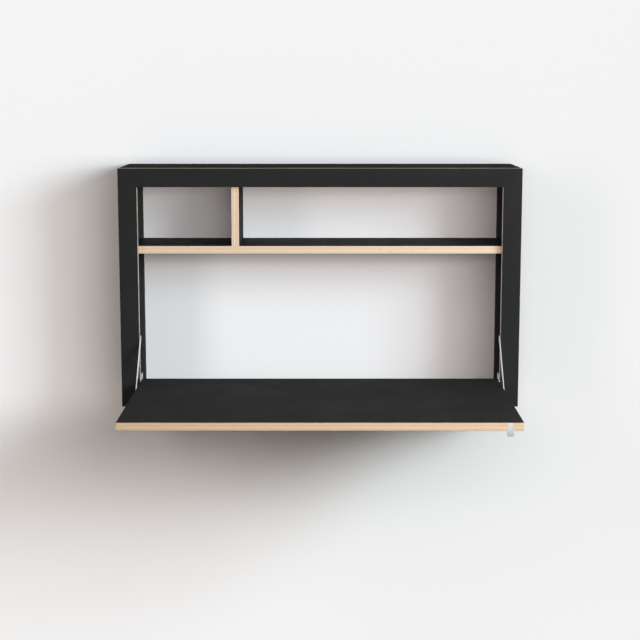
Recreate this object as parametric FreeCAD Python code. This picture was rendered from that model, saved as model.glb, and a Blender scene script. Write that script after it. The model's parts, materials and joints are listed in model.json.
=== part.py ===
import FreeCAD, Part
import math
import os

# Fold down wall desk, shown with its flap open.
# The wall is the plane Y = 0 and the room lies towards -Y. X runs along the wall and Z points up.
# The origin is on the wall, midway between the two wall screw holes. Sizes are in millimetres.

# Case and front frame
WIDTH = 800.0
HEIGHT = 480.0
DEPTH = 180.0
BOARD = 15.0
RAIL = 37.0
CASE_INSET = 1.0
EDGE_EASE = 0.5
SHELF_TOP = 324.5
SHELF_SETBACK = 1.0
DIVIDER_X = -169.0
BATTEN_WIDTH = 13.0
HANGING_RAIL = 30.0
WALL_HOLE_R = 3.0
WALL_HOLE_SINK = 3.0
WALL_HOLE_SPAN = 600.0

# Flap and its hinges
FLAP_GAP = 3.0
HINGE_PLATE_T = 2.0
HINGE_PLATE_ROUND = 3.0
HINGE_PLATE_DROP = 8.0
HINGE_LEAF_FRONT = 5.5
HINGE_LEAF_RISE = 7.0
HINGE_TAIL_LENGTH = 18.0
HINGE_TAIL_RISE = 17.0
HINGE_FLANGE_WIDTH = 18.0
HINGE_SCREW_INSET = 11.0
HINGE_SCREW_HEIGHTS = (-2.0, 11.0)
HINGE_PIN_R = 3.0
HINGE_PIN_LENGTH = 21.0
PIN_END_GAP = 0.5
BUSH_R = 4.5
BUSH_LENGTH = 16.0

# Stays: an arm on each side, turning on the flap and guided by a track in the stile
ARM_LENGTH = 128.0
ARM_SEAT = 88.0
ARM_WIDTH = 9.0
ARM_T = 1.5
ARM_OFF_FLAP = 0.3
PIVOT_R = 2.5
PIVOT_IN_FLAP = 16.0
PIVOT_HEAD_R = 4.0
PIVOT_HEAD_T = 0.5
PIVOT_HEAD_PLAY = 0.2
SLIDE_PIN_R = 2.0
TRACK_WIDTH = 10.0
TRACK_DEPTH = 8.0
TRACK_WALL = 1.4
TRACK_SLOT = 4.6
TRACK_END_GAP = 2.0
TRACK_SCREW_INSET = 20.0
SLIDE_LENGTH = 16.0
STOP_LENGTH = 8.0

# Pull tab and catch
TAB_INSET = 24.0
TAB_WIDTH = 12.0
TAB_T = 2.0
TAB_DROP = 11.0
TAB_TOP_INSET = 1.0
TAB_ROUND = 1.5
MAGNET_R = 5.0
MAGNET_LENGTH = 13.0

# Joinery
DOWEL_R = 4.0
DOWEL_LENGTH = 30.0
DOWEL_SHORT_SIDE = 10.0
DOWEL_END_GAP = 0.5
BATTEN_DOWEL_R = 3.0
BATTEN_DOWEL_LENGTH = 18.0
BATTEN_DOWEL_SHORT_SIDE = 8.0
RAIL_DOWELS = 3
RAIL_DOWEL_INSET = 70.0
STILE_DOWEL_INSET = 80.0
CASE_DOWEL_FRONT_INSET = 50.0
CASE_DOWEL_WALL_INSET = 40.0
HANGING_DOWEL_INSET = 80.0
BATTEN_DOWEL_INSET = 45.0

# Countersunk screws
SCREW_R = 1.25
SCREW_HEAD_R = 2.4
SCREW_LENGTH = 14.0

# Clearances
FIXED_FIT = 0.05
RUNNING_FIT = 0.05
SLIDE_PLAY = 0.3

# Places that follow from the sizes above
V = FreeCAD.Vector
AXIS_X = V(1, 0, 0)
AXIS_Y = V(0, 1, 0)
AXIS_Z = V(0, 0, 1)
ALONG_SHARE = 0.5
SIDES = (("left", -1), ("right", 1))

BASE_Z = HANGING_RAIL / 2 + BOARD - HEIGHT
TOP_Z = BASE_Z + HEIGHT
FRONT_Y = -DEPTH
CASE_FRONT_Y = FRONT_Y + BOARD
SHELF_FRONT_Y = CASE_FRONT_Y + SHELF_SETBACK
SHELF_Z = BASE_Z + SHELF_TOP
SHELF_DOWELS_Z = SHELF_Z - BOARD / 2
CASE_X = WIDTH / 2 - CASE_INSET
SIDE_X = CASE_X - BOARD
BATTEN_X = SIDE_X - BATTEN_WIDTH
HANGING_Z = TOP_Z - BOARD - HANGING_RAIL

OPENING_X = WIDTH / 2 - RAIL
OPENING_LOW_Z = BASE_Z + RAIL
OPENING_HIGH_Z = TOP_Z - RAIL

FLAP_X = OPENING_X - FLAP_GAP
FLAP_LENGTH = OPENING_HIGH_Z - OPENING_LOW_Z - 2 * FLAP_GAP
PIVOT_Y = FRONT_Y + BOARD / 2
PIVOT_Z = OPENING_LOW_Z + FLAP_GAP + BOARD / 2
FLAP_BACK_Y = PIVOT_Y + BOARD / 2
FLAP_FRONT_Y = FLAP_BACK_Y - FLAP_LENGTH
FLAP_LOW_Z = PIVOT_Z - BOARD / 2
FLAP_HIGH_Z = PIVOT_Z + BOARD / 2

TAB_X = FLAP_X - TAB_INSET

ARM_X = FLAP_X + ARM_OFF_FLAP
ARM_OUTER_X = ARM_X + ARM_T
ARM_SEAT_Y = PIVOT_Y - ARM_SEAT
SLIDE_Z = PIVOT_Z + math.sqrt(ARM_LENGTH ** 2 - ARM_SEAT ** 2)

HINGE_INNER_X = OPENING_X - HINGE_PLATE_T
HINGE_FLANGE_Y = CASE_FRONT_Y + HINGE_PLATE_T

TRACK_LOW_Z = PIVOT_Z + HINGE_LEAF_RISE + TRACK_END_GAP
TRACK_HIGH_Z = OPENING_HIGH_Z - TRACK_END_GAP
TRACK_CAVITY_X = OPENING_X + TRACK_WALL
TRACK_BACK_X = OPENING_X + TRACK_DEPTH - TRACK_WALL
TRACK_CAVITY_W = TRACK_WIDTH - 2 * TRACK_WALL

CASE_DOWELS_Y = (SHELF_FRONT_Y + CASE_DOWEL_FRONT_INSET, -CASE_DOWEL_WALL_INSET)
BATTEN_DOWELS_Z = (BASE_Z + BOARD + BATTEN_DOWEL_INSET, HANGING_Z - BATTEN_DOWEL_INSET)
STILE_DOWELS_Z = (BASE_Z + STILE_DOWEL_INSET, TOP_Z - STILE_DOWEL_INSET)
HANGING_DOWEL_X = WALL_HOLE_SPAN / 2 - HANGING_DOWEL_INSET


def box(x0, x1, y0, y1, z0, z1):
    """A block between two opposite corners."""
    return Part.makeBox(x1 - x0, y1 - y0, z1 - z0, V(x0, y0, z0))


def eased(shape):
    """A board with its edges broken by a small chamfer."""
    return shape.makeChamfer(EDGE_EASE, shape.Edges)


def rounded(shape, axis, radius, wanted):
    """A block with some of its edges along one axis rounded: those whose middle is a wanted place."""
    along = [e for e in shape.Edges if abs(e.tangentAt(e.FirstParameter).dot(axis)) > ALONG_SHARE]
    return shape.makeFillet(radius, [e for e in along if wanted(e.CenterOfMass)])


def on_side(shape, sign):
    """A right hand piece as it is, or its mirror image for the left."""
    return shape if sign > 0 else shape.mirror(V(0, 0, 0), AXIS_X)


def cut_all(shape, cutters):
    """A shape with every cutter taken out of it."""
    return shape.cut(Part.makeCompound(cutters))


def stadium(y0, z0, y1, z1, radius, x0, x1):
    """A round ended bar from one point to another in the plane of Y and Z, solid from x0 to x1."""
    start, end = V(x0, y0, z0), V(x0, y1, z1)
    along = (end - start).normalize()
    across = AXIS_X.cross(along) * radius
    reach = along * radius
    outline = [
        Part.makeLine(start + across, end + across),
        Part.Arc(end + across, end + reach, end - across).toShape(),
        Part.makeLine(end - across, start - across),
        Part.Arc(start - across, start - reach, start + across).toShape(),
    ]
    return Part.Face(Part.Wire(outline)).extrude(V(x1 - x0, 0, 0))


def prism(points, rise):
    """A straight sided profile pulled along a vector."""
    return Part.Face(Part.makePolygon(points + points[:1])).extrude(rise)


def screw_hole(head, axis):
    """The countersunk hole that a screw sits in."""
    sink = SCREW_HEAD_R - SCREW_R
    cone = Part.makeCone(SCREW_HEAD_R + FIXED_FIT, SCREW_R + FIXED_FIT, sink, head, axis)
    return cone.fuse(Part.makeCylinder(SCREW_R + FIXED_FIT, SCREW_LENGTH + FIXED_FIT, head, axis))


def screw(head, axis):
    """A countersunk screw, its head at the given point and its shank along the axis."""
    cone = Part.makeCone(SCREW_HEAD_R, SCREW_R, SCREW_HEAD_R - SCREW_R, head, axis)
    return cone.fuse(Part.makeCylinder(SCREW_R, SCREW_LENGTH, head, axis)).removeSplitter()


class DowelSet:
    """Dowels of one size. Each place is the joint's plane, with the axis towards the longer side."""

    def __init__(self, places, radius=DOWEL_R, length=DOWEL_LENGTH, short_side=DOWEL_SHORT_SIDE):
        self.places = places
        self.radius = radius
        self.length = length
        self.short_side = short_side

    def pins(self):
        """The dowels themselves."""
        solids = []
        for face, axis in self.places:
            start = face - axis * self.short_side
            solids.append(Part.makeCylinder(self.radius, self.length, start, axis))
        return solids

    def holes(self):
        """The holes that the dowels are glued into."""
        deep = self.length + 2 * DOWEL_END_GAP
        cutters = []
        for face, axis in self.places:
            start = face - axis * (self.short_side + DOWEL_END_GAP)
            cutters.append(Part.makeCylinder(self.radius + FIXED_FIT, deep, start, axis))
        return cutters


def frame_dowels():
    """Dowels from the front frame back into the four boards of the case."""
    places = []
    outer = CASE_X - RAIL_DOWEL_INSET
    for step in range(RAIL_DOWELS):
        x = 2 * outer * step / (RAIL_DOWELS - 1) - outer
        for z in (TOP_Z - BOARD / 2, BASE_Z + BOARD / 2):
            places.append((V(x, CASE_FRONT_Y, z), AXIS_Y))
    for _, sign in SIDES:
        for z in STILE_DOWELS_Z:
            places.append((V(sign * (SIDE_X + BOARD / 2), CASE_FRONT_Y, z), AXIS_Y))
    return DowelSet(places)


def case_dowels():
    """Dowels from the top and bottom boards into the side boards."""
    places = []
    for _, sign in SIDES:
        for y in CASE_DOWELS_Y:
            places.append((V(sign * (SIDE_X + BOARD / 2), y, TOP_Z - BOARD), -AXIS_Z))
            places.append((V(sign * (SIDE_X + BOARD / 2), y, BASE_Z + BOARD), AXIS_Z))
    return DowelSet(places)


def shelf_dowels():
    """Dowels from the side boards into the ends of the shelf."""
    places = []
    for _, sign in SIDES:
        for y in CASE_DOWELS_Y:
            places.append((V(sign * SIDE_X, y, SHELF_DOWELS_Z), AXIS_X * -sign))
    return DowelSet(places)


def divider_dowels():
    """Dowels from the shelf and the top board into the ends of the divider."""
    places = []
    for y in CASE_DOWELS_Y:
        places.append((V(DIVIDER_X, y, SHELF_Z), AXIS_Z))
        places.append((V(DIVIDER_X, y, TOP_Z - BOARD), -AXIS_Z))
    return DowelSet(places)


def hanging_dowels():
    """Dowels from the top board down into the hanging rail."""
    return DowelSet([(V(sign * HANGING_DOWEL_X, -BOARD / 2, TOP_Z - BOARD), -AXIS_Z) for _, sign in SIDES])


def batten_dowels():
    """Thinner dowels from the battens into the side boards."""
    places = []
    for _, sign in SIDES:
        for z in BATTEN_DOWELS_Z:
            places.append((V(sign * SIDE_X, -BOARD / 2, z), AXIS_X * sign))
    return DowelSet(places, BATTEN_DOWEL_R, BATTEN_DOWEL_LENGTH, BATTEN_DOWEL_SHORT_SIDE)


def track_groove(sign):
    """The groove along a stile's inner edge that the track lies in."""
    half = TRACK_WIDTH / 2
    groove = box(OPENING_X, OPENING_X + TRACK_DEPTH, PIVOT_Y - half, PIVOT_Y + half,
                 TRACK_LOW_Z, TRACK_HIGH_Z)
    return on_side(groove, sign)


def track_screw_heads(sign):
    """Where the track's screws start, on the inside of its back wall."""
    middle = (TRACK_LOW_Z + TRACK_HIGH_Z) / 2
    heights = (TRACK_LOW_Z + TRACK_SCREW_INSET, middle, TRACK_HIGH_Z - TRACK_SCREW_INSET)
    return [V(sign * TRACK_BACK_X, PIVOT_Y, z) for z in heights]


def hinge_screw_heads(sign):
    """Where the hinge bracket's screws start, on the back of its flange."""
    x = sign * (OPENING_X + HINGE_SCREW_INSET)
    return [V(x, HINGE_FLANGE_Y, PIVOT_Z + rise) for rise in HINGE_SCREW_HEIGHTS]


def tab_screw_head():
    """Where the pull tab's screw starts, on its front face."""
    return V(TAB_X, FLAP_FRONT_Y, PIVOT_Z)


def front_frame():
    """The ring panel in front, with its opening, the track grooves, and holes for dowels and hardware."""
    panel = eased(box(-WIDTH / 2, WIDTH / 2, FRONT_Y, CASE_FRONT_Y, BASE_Z, TOP_Z))
    cutters = [box(-OPENING_X, OPENING_X, FRONT_Y, CASE_FRONT_Y, OPENING_LOW_Z, OPENING_HIGH_Z)]
    for _, sign in SIDES:
        cutters.append(track_groove(sign))
        cutters += [screw_hole(head, AXIS_X * sign) for head in track_screw_heads(sign)]
        cutters += [screw_hole(head, -AXIS_Y) for head in hinge_screw_heads(sign)]
    magnet_foot = V(TAB_X, PIVOT_Y, OPENING_HIGH_Z)
    cutters.append(Part.makeCylinder(MAGNET_R + FIXED_FIT, MAGNET_LENGTH, magnet_foot))
    return cut_all(panel, cutters + frame_dowels().holes())


def top_board():
    """The board across the top of the case."""
    board = box(-CASE_X, CASE_X, CASE_FRONT_Y, 0, TOP_Z - BOARD, TOP_Z)
    sets = (frame_dowels(), case_dowels(), divider_dowels(), hanging_dowels())
    return cut_all(board, [hole for dowels in sets for hole in dowels.holes()])


def bottom_board():
    """The board across the bottom of the case."""
    board = box(-CASE_X, CASE_X, CASE_FRONT_Y, 0, BASE_Z, BASE_Z + BOARD)
    return cut_all(board, frame_dowels().holes() + case_dowels().holes())


def side_board(sign):
    """An upright side of the case, between the top and bottom boards."""
    board = on_side(box(SIDE_X, CASE_X, CASE_FRONT_Y, 0, BASE_Z + BOARD, TOP_Z - BOARD), sign)
    sets = (frame_dowels(), case_dowels(), shelf_dowels(), batten_dowels())
    return cut_all(board, [hole for dowels in sets for hole in dowels.holes()])


def shelf():
    """The shelf between the sides, its back corners notched round the battens."""
    board = box(-SIDE_X, SIDE_X, SHELF_FRONT_Y, 0, SHELF_Z - BOARD, SHELF_Z)
    cutters = shelf_dowels().holes() + divider_dowels().holes()
    for _, sign in SIDES:
        cutters.append(on_side(box(BATTEN_X, SIDE_X, -BOARD, 0, SHELF_Z - BOARD, SHELF_Z), sign))
    return cut_all(board, cutters)


def divider():
    """The upright between the shelf and the top board, notched round the hanging rail."""
    half = BOARD / 2
    board = box(DIVIDER_X - half, DIVIDER_X + half, SHELF_FRONT_Y, 0, SHELF_Z, TOP_Z - BOARD)
    notch = box(DIVIDER_X - half, DIVIDER_X + half, -BOARD, 0, HANGING_Z, TOP_Z - BOARD)
    return cut_all(board, divider_dowels().holes() + [notch])


def hanging_rail():
    """The rail at the wall, under the top board, with two countersunk wall screw holes."""
    rail = box(-SIDE_X, SIDE_X, -BOARD, 0, HANGING_Z, TOP_Z - BOARD)
    cutters = hanging_dowels().holes()
    for _, sign in SIDES:
        mouth = V(sign * WALL_HOLE_SPAN / 2, -BOARD, 0)
        cutters.append(Part.makeCylinder(WALL_HOLE_R, BOARD, mouth, AXIS_Y))
        wide_r = WALL_HOLE_R + WALL_HOLE_SINK
        cutters.append(Part.makeCone(wide_r, WALL_HOLE_R, WALL_HOLE_SINK, mouth, AXIS_Y))
    return cut_all(rail, cutters)


def batten(sign):
    """An upright strip in a back corner, under the hanging rail."""
    strip = on_side(box(BATTEN_X, SIDE_X, -BOARD, 0, BASE_Z + BOARD, HANGING_Z), sign)
    return cut_all(strip, batten_dowels().holes())


def track(sign):
    """A channel with inturned lips, let into a stile's inner edge."""
    half = TRACK_WIDTH / 2
    inner = TRACK_CAVITY_W / 2
    lip = TRACK_SLOT / 2
    outer_x = OPENING_X + TRACK_DEPTH
    profile = [
        (OPENING_X, lip), (OPENING_X, half), (outer_x, half), (outer_x, -half), (OPENING_X, -half),
        (OPENING_X, -lip), (TRACK_CAVITY_X, -lip), (TRACK_CAVITY_X, -inner), (TRACK_BACK_X, -inner),
        (TRACK_BACK_X, inner), (TRACK_CAVITY_X, inner), (TRACK_CAVITY_X, lip),
    ]
    corners = [V(x, PIVOT_Y + y, TRACK_LOW_Z) for x, y in profile]
    channel = on_side(prism(corners, AXIS_Z * (TRACK_HIGH_Z - TRACK_LOW_Z)), sign)
    return cut_all(channel, [screw_hole(head, AXIS_X * sign) for head in track_screw_heads(sign)])


def track_stop(sign):
    """The plug in a track that the slide comes to rest on when the flap is open."""
    half = TRACK_CAVITY_W / 2
    high = SLIDE_Z - SLIDE_LENGTH / 2 - SLIDE_PLAY
    plug = box(TRACK_CAVITY_X, TRACK_BACK_X, PIVOT_Y - half, PIVOT_Y + half, high - STOP_LENGTH, high)
    return on_side(plug, sign)


def slide(sign):
    """The block that runs in a track, with a neck out through the slot."""
    half = TRACK_CAVITY_W / 2 - SLIDE_PLAY
    neck = TRACK_SLOT / 2 - SLIDE_PLAY
    low, high = SLIDE_Z - SLIDE_LENGTH / 2, SLIDE_Z + SLIDE_LENGTH / 2
    back_x = TRACK_BACK_X - SLIDE_PLAY
    block = box(TRACK_CAVITY_X + SLIDE_PLAY, back_x, PIVOT_Y - half, PIVOT_Y + half, low, high)
    tongue = box(OPENING_X, back_x, PIVOT_Y - neck, PIVOT_Y + neck, low, high)
    return on_side(block.fuse(tongue).removeSplitter(), sign)


def hinge_plate(sign):
    """The hinge pin's steel bracket: a leaf beside the flap, a flange on the frame's back, and a tail."""
    low, high = PIVOT_Z - HINGE_PLATE_DROP, PIVOT_Z + HINGE_TAIL_RISE
    front_y, tail_y = PIVOT_Y - HINGE_LEAF_FRONT, CASE_FRONT_Y + HINGE_TAIL_LENGTH
    leaf = box(HINGE_INNER_X, OPENING_X, front_y, HINGE_FLANGE_Y, low, PIVOT_Z + HINGE_LEAF_RISE)
    tail = box(HINGE_INNER_X, OPENING_X, CASE_FRONT_Y, tail_y, low, high)
    flange = box(HINGE_INNER_X, OPENING_X + HINGE_FLANGE_WIDTH, CASE_FRONT_Y, HINGE_FLANGE_Y, low, high)
    leaf = rounded(leaf, AXIS_X, HINGE_PLATE_ROUND, lambda middle: middle.y < PIVOT_Y)
    tail = rounded(tail, AXIS_X, HINGE_PLATE_ROUND, lambda middle: middle.y > HINGE_FLANGE_Y)
    flange = rounded(flange, AXIS_Y, HINGE_PLATE_ROUND, lambda middle: middle.x > OPENING_X)
    bracket = on_side(leaf.fuse([tail, flange]).removeSplitter(), sign)
    pin_hole = Part.makeCylinder(HINGE_PIN_R + FIXED_FIT, OPENING_X, V(0, PIVOT_Y, PIVOT_Z), AXIS_X * sign)
    return cut_all(bracket, [pin_hole] + [screw_hole(head, -AXIS_Y) for head in hinge_screw_heads(sign)])


def hinge_pin(sign):
    """The pin that a side of the flap turns on."""
    seat = V(sign * OPENING_X, PIVOT_Y, PIVOT_Z)
    return Part.makeCylinder(HINGE_PIN_R, HINGE_PIN_LENGTH, seat, AXIS_X * -sign)


def hinge_bush(sign):
    """The sleeve in the flap's edge that runs on the hinge pin."""
    mouth = V(sign * FLAP_X, PIVOT_Y, PIVOT_Z)
    sleeve = Part.makeCylinder(BUSH_R, BUSH_LENGTH, mouth, AXIS_X * -sign)
    return sleeve.cut(Part.makeCylinder(HINGE_PIN_R + RUNNING_FIT, BUSH_LENGTH, mouth, AXIS_X * -sign))


def tab_outline(clearance):
    """The pull tab's plate, from just under the flap's top face to a little below the flap."""
    half = TAB_WIDTH / 2 + clearance
    back_y = FLAP_FRONT_Y + TAB_T + clearance
    high = FLAP_HIGH_Z - TAB_TOP_INSET + clearance
    plate = box(TAB_X - half, TAB_X + half, FLAP_FRONT_Y, back_y, FLAP_LOW_Z - TAB_DROP, high)
    return rounded(plate, AXIS_Y, TAB_ROUND, lambda middle: True)


def pull_tab():
    """The steel plate let into the flap's front edge, by which the flap is pulled open."""
    return tab_outline(0).cut(screw_hole(tab_screw_head(), AXIS_Y))


def catch_magnet():
    """The magnet in the frame's top rail that holds the closed flap by its pull tab."""
    return Part.makeCylinder(MAGNET_R, MAGNET_LENGTH, V(TAB_X, PIVOT_Y, OPENING_HIGH_Z))


def flap():
    """The leaf that fills the frame's opening when closed and is the desk top when open."""
    leaf = eased(box(-FLAP_X, FLAP_X, FLAP_FRONT_Y, FLAP_BACK_Y, FLAP_LOW_Z, FLAP_HIGH_Z))
    pin_reach = HINGE_PIN_LENGTH - FLAP_GAP + PIN_END_GAP
    seat_reach = PIVOT_IN_FLAP + PIN_END_GAP
    cutters = [tab_outline(FIXED_FIT), screw_hole(tab_screw_head(), AXIS_Y)]
    for _, sign in SIDES:
        inward = AXIS_X * -sign
        edge = V(sign * FLAP_X, PIVOT_Y, PIVOT_Z)
        seat = V(sign * FLAP_X, ARM_SEAT_Y, PIVOT_Z)
        cutters.append(Part.makeCylinder(BUSH_R + FIXED_FIT, pin_reach, edge, inward))
        cutters.append(Part.makeCylinder(PIVOT_R + FIXED_FIT, seat_reach, seat, inward))
    return cut_all(leaf, cutters)


def arm_pivot(sign):
    """The headed pin in the flap's edge that an arm turns on."""
    neck_x = ARM_OUTER_X + PIVOT_HEAD_PLAY
    shank = Part.makeCylinder(PIVOT_R, neck_x - FLAP_X + PIVOT_IN_FLAP,
                              V(FLAP_X - PIVOT_IN_FLAP, ARM_SEAT_Y, PIVOT_Z), AXIS_X)
    head = Part.makeCylinder(PIVOT_HEAD_R, PIVOT_HEAD_T, V(neck_x, ARM_SEAT_Y, PIVOT_Z), AXIS_X)
    return on_side(shank.fuse(head).removeSplitter(), sign)


def arm(sign):
    """A flat stay arm from its pivot on the flap up to its slide."""
    bar = stadium(ARM_SEAT_Y, PIVOT_Z, PIVOT_Y, SLIDE_Z, ARM_WIDTH / 2, ARM_X, ARM_OUTER_X)
    lower = Part.makeCylinder(PIVOT_R + RUNNING_FIT, ARM_T, V(ARM_X, ARM_SEAT_Y, PIVOT_Z), AXIS_X)
    upper = Part.makeCylinder(SLIDE_PIN_R + FIXED_FIT, ARM_T, V(ARM_X, PIVOT_Y, SLIDE_Z), AXIS_X)
    return on_side(cut_all(bar, [lower, upper]), sign)


def slide_pin(sign):
    """The rivet in an arm's upper end, ending just short of the slide."""
    length = OPENING_X - SLIDE_PLAY - ARM_X
    return on_side(Part.makeCylinder(SLIDE_PIN_R, length, V(ARM_X, PIVOT_Y, SLIDE_Z), AXIS_X), sign)


def build():
    """Every piece of the desk under its own name."""
    pieces = {
        "front_frame": front_frame(),
        "top_board": top_board(),
        "bottom_board": bottom_board(),
        "shelf": shelf(),
        "divider": divider(),
        "hanging_rail": hanging_rail(),
        "flap": flap(),
        "pull_tab": pull_tab(),
        "tab_screw": screw(tab_screw_head(), AXIS_Y),
        "catch_magnet": catch_magnet(),
    }
    paired = {
        "side_board": side_board, "batten": batten, "track": track, "slide": slide,
        "hinge_plate": hinge_plate, "hinge_pin": hinge_pin, "hinge_bush": hinge_bush,
        "arm": arm, "arm_pivot": arm_pivot, "slide_pin": slide_pin,
    }
    for name, make in paired.items():
        for side, sign in SIDES:
            pieces[name + "_" + side] = make(sign)
    groups = {
        "frame_dowels": frame_dowels().pins(),
        "case_dowels": case_dowels().pins(),
        "shelf_dowels": shelf_dowels().pins(),
        "divider_dowels": divider_dowels().pins(),
        "hanging_dowels": hanging_dowels().pins(),
        "batten_dowels": batten_dowels().pins(),
        "track_stops": [track_stop(sign) for _, sign in SIDES],
        "track_screws": [screw(h, AXIS_X * s) for _, s in SIDES for h in track_screw_heads(s)],
        "hinge_screws": [screw(h, -AXIS_Y) for _, s in SIDES for h in hinge_screw_heads(s)],
    }
    for name, solids in groups.items():
        pieces[name] = Part.makeCompound(solids)
    return pieces


os.makedirs("parts", exist_ok=True)
for node, shape in build().items():
    shape.exportStep("parts/" + node + ".step")
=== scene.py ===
"""Finishes for a fold down wall desk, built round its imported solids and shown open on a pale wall."""

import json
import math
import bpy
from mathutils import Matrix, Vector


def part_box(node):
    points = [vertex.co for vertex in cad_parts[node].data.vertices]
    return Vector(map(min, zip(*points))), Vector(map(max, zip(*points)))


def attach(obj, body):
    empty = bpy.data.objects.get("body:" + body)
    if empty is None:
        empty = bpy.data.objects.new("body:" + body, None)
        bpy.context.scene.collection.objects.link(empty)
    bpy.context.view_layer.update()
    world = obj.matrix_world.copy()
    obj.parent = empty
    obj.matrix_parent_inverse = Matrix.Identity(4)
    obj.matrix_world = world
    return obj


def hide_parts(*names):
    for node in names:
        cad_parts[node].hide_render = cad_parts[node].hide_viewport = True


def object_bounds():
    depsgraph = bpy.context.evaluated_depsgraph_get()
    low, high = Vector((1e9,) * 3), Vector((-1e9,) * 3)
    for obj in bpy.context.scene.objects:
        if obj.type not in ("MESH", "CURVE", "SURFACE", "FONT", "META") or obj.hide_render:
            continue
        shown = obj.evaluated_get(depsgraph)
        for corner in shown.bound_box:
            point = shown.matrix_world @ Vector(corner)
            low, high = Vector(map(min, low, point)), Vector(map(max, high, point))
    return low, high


bl_info = {
    "name": "Fold down wall desk",
    "version": (1, 0, 0),
    "blender": (4, 5, 0),
    "location": "View3D > Sidebar > Desk",
    "description": "Gives the desk its laminated birch boards and bright metal fittings",
    "category": "Object",
}

import bmesh
import bpy
from bpy.props import FloatProperty, FloatVectorProperty, IntProperty, PointerProperty
from bpy.types import Operator, Panel, PropertyGroup
from mathutils import Euler, Vector

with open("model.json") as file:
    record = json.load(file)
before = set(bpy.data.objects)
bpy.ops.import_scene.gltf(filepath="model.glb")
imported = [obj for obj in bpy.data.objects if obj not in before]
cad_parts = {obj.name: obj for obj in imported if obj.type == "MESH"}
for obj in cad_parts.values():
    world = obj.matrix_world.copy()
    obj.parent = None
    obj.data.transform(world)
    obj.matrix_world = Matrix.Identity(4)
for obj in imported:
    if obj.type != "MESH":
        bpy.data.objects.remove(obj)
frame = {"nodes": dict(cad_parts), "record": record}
CAD_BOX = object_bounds()

MM = 0.001
SIDES = ("left", "right")
FLAP_UNDER_Z, DESK_TOP_Z = (corner[2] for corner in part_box("flap"))
# Marks the corners of a screw's recess that get painted shade.
RECESS_MARK = "recess"

# How near corners are welded, and which angles between faces count as flat, sharp and smooth.
WELD = 0.002 * MM
FLAT_ANGLE = math.radians(0.2)
SHARP_ANGLE = math.radians(55.0)
SMOOTH_ANGLE = math.radians(24.0)
SCREW_SMOOTH_ANGLE = math.radians(32.0)

# Cuts across the pull tab's curl, sides of a screw, and its shank's share of the head's radius.
CURL_STEPS = 6
SCREW_SIDES = 20
SHANK_SHARE = 0.52

# How far the wall and the floor go, and how far behind the desk the wall stands.
STAGE_REACH = 6.0
WALL_GAP = 0.5 * MM

# How rough each metal is at its smoothest.
STEEL_ROUGH = 0.16
HINGE_ROUGH = 0.26
TRACK_ROUGH = 0.30
BRASS_ROUGH = 0.25
TAB_ROUGH = 0.34
NICKEL_ROUGH = 0.12

# Which way each board's layers lie: the axis through its thickness, 0 for X, 1 for Y and 2 for Z.
THROUGH = {
    "front_frame": 1,
    "top_board": 2,
    "bottom_board": 2,
    "side_board_left": 0,
    "side_board_right": 0,
    "shelf": 2,
    "divider": 0,
    "hanging_rail": 1,
    "flap": 2,
}

# Turns that bring the axis through a board's thickness onto Z.
LAYERS_TO_Z = (
    (0.0, -math.pi / 2, 0.0),
    (math.pi / 2, 0.0, 0.0),
    (0.0, 0.0, 0.0),
)


def colour_setting(name, description, default, strongest=1.0):
    """A colour for the sidebar."""
    return FloatVectorProperty(name=name, description=description, subtype="COLOR", size=3, min=0.0,
                               max=strongest, default=default)


def place_setting(name, description, default):
    """A place in the room for the sidebar."""
    return FloatVectorProperty(name=name, description=description, subtype="TRANSLATION", size=3,
                               default=default)


def extent_setting(name, description, default):
    """A width and a height for the sidebar."""
    return FloatVectorProperty(name=name, description=description, unit="LENGTH", size=2, default=default)


def length_setting(name, description, default, least=0.0):
    """A length for the sidebar."""
    return FloatProperty(name=name, description=description, unit="LENGTH", min=least, default=default)


def power_setting(name, description, default):
    """A lamp's power for the sidebar."""
    return FloatProperty(name=name, description=description, unit="POWER", min=0.0, default=default)


def share_setting(name, description, default):
    """A share from 0 to 1 for the sidebar."""
    return FloatProperty(name=name, description=description, subtype="FACTOR", min=0.0, max=1.0,
                         default=default)


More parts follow.
